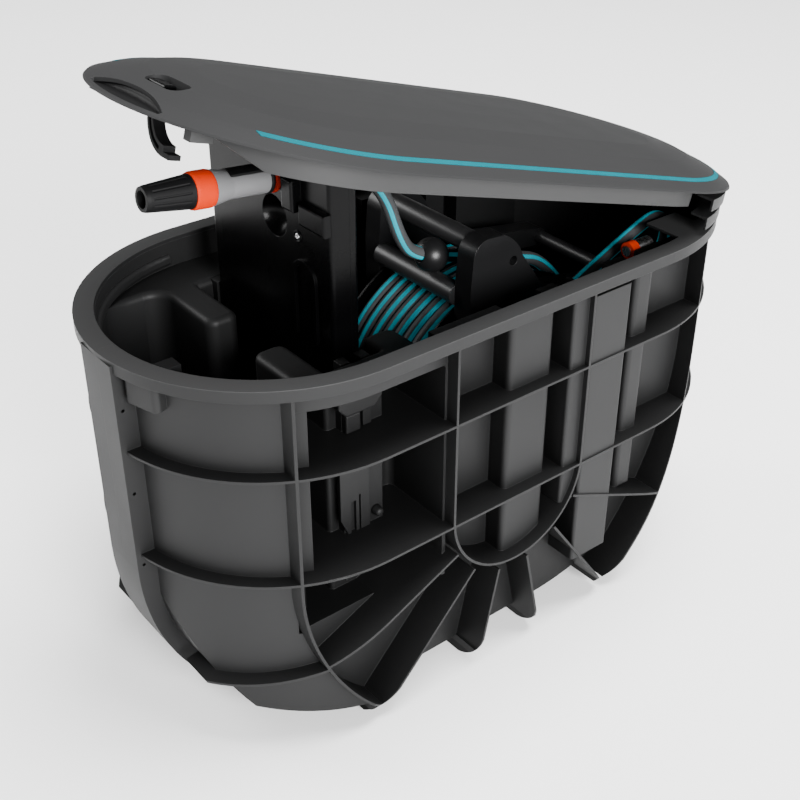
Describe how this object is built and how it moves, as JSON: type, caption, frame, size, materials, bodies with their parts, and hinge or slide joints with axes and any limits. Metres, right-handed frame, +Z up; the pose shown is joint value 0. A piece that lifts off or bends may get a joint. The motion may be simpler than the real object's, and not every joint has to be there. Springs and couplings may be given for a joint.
{
  "type": "in-ground hose box",
  "caption": "Stadium-shaped in-ground hose box with ribbed tub, tipping domed lid, fan covers, rising nozzle tower and a sprung hose reel inside.",
  "frame": {"origin": "on the ground under the ribs, at the middle of the rim outline", "axes": "X along the box with the hinge at +X, Y across it, Z up"},
  "size_m": [0.8684, 0.426, 0.7423],
  "materials": {
    "body": "fine moulded grain",
    "cover": "fine moulded grain",
    "black": "satin",
    "steel": "plain",
    "teal": "gloss",
    "orange": "satin",
    "red": "satin",
    "grey": "satin",
    "silver": "plated",
    "brass": "turned",
    "hose": "ribbed, with coloured stripes"
  },
  "bodies": {
    "tub": {"tub_near_half": "body", "tub_far_half": "body", "seam_screws": "steel", "hinge_bracket": "black", "hinge_bracket_screws": "steel", "hinge_pin": "steel", "latch_keeper": "black", "reel_near_cheek": "black", "reel_far_cheek": "black", "upper_bar": "black", "lower_bar": "black", "rear_handle": "black", "reel_axle": "steel", "spring_housing": "black", "rewind_spring": "steel", "axle_bushes": "black", "hose_lead": "hose", "nozzle_hose": "hose", "stop_ball": "black", "stop_ball_sleeve": "black", "swivel_elbow": "black", "supply_hose": "hose", "inlet_elbow": "black", "inlet_spigot": "brass", "inlet_nut": "black", "tap_connector": "silver", "tap_collar": "orange", "tap_shelf": "black"},
    "lid": {"lid_shell": "body", "lid_stripe": "teal", "lid_frame": "body", "lid_hinge_leaf": "black", "lid_screws": "steel"},
    "upper_cover": {"cover_upper": "cover"},
    "lower_cover": {"cover_lower": "cover"},
    "latch": {"latch_knob": "black", "latch_hook": "black"},
    "tower": {"tower_front": "black", "tower_back": "black", "tower_screws": "steel", "hose_connector": "red", "nozzle_body": "grey", "nozzle_insert": "black", "hose_gland": "black"},
    "nozzle_head": {"nozzle_ring": "orange", "nozzle_tip": "black"},
    "drum": {"drum_core": "black", "drum_near_flange": "black", "drum_far_flange": "black", "hose_winding": "hose"}
  },
  "joints": [
    {"name": "lid_hinge", "type": "hinge", "parent": "tub", "child": "lid", "pos_m": [0.344, 0, 0.462], "axis": [0, 1, 0], "range_deg": [-16.8, 2.4]},
    {"name": "upper_cover_hinge", "type": "hinge", "parent": "tub", "child": "upper_cover", "pos_m": [0.344, 0, 0.462], "axis": [0, 1, 0], "range_deg": [-11.3, 1.7]},
    {"name": "lower_cover_hinge", "type": "hinge", "parent": "tub", "child": "lower_cover", "pos_m": [0.344, 0, 0.462], "axis": [0, 1, 0], "range_deg": [-5.7, 0.9]},
    {"name": "tower_lift", "type": "slide", "parent": "tub", "child": "tower", "axis": [0, 0, 1], "range_m": [-0.1405, 0.0205], "deforming": ["nozzle_hose"]},
    {"name": "latch_slide", "type": "slide", "parent": "lid", "child": "latch", "axis": [0, -1, 0], "range_m": [0, 0.01]},
    {"name": "drum_spin", "type": "hinge", "parent": "tub", "child": "drum", "pos_m": [0.075, 0, 0.272], "axis": [0, 1, 0], "continuous": true},
    {"name": "nozzle_twist", "type": "hinge", "parent": "tower", "child": "nozzle_head", "pos_m": [-0.29959, -0.02, 0.63463], "axis": [-0.9954, 0, 0.0958], "range_deg": [0, 270]}
  ],
  "couplings": [
    {"joint": "upper_cover_hinge", "follows": "lid_hinge", "ratio": 0.66667},
    {"joint": "lower_cover_hinge", "follows": "lid_hinge", "ratio": 0.33333},
    {"joint": "tower_lift", "follows": "lid_hinge", "m_per_rad": 0.47727}
  ]
}
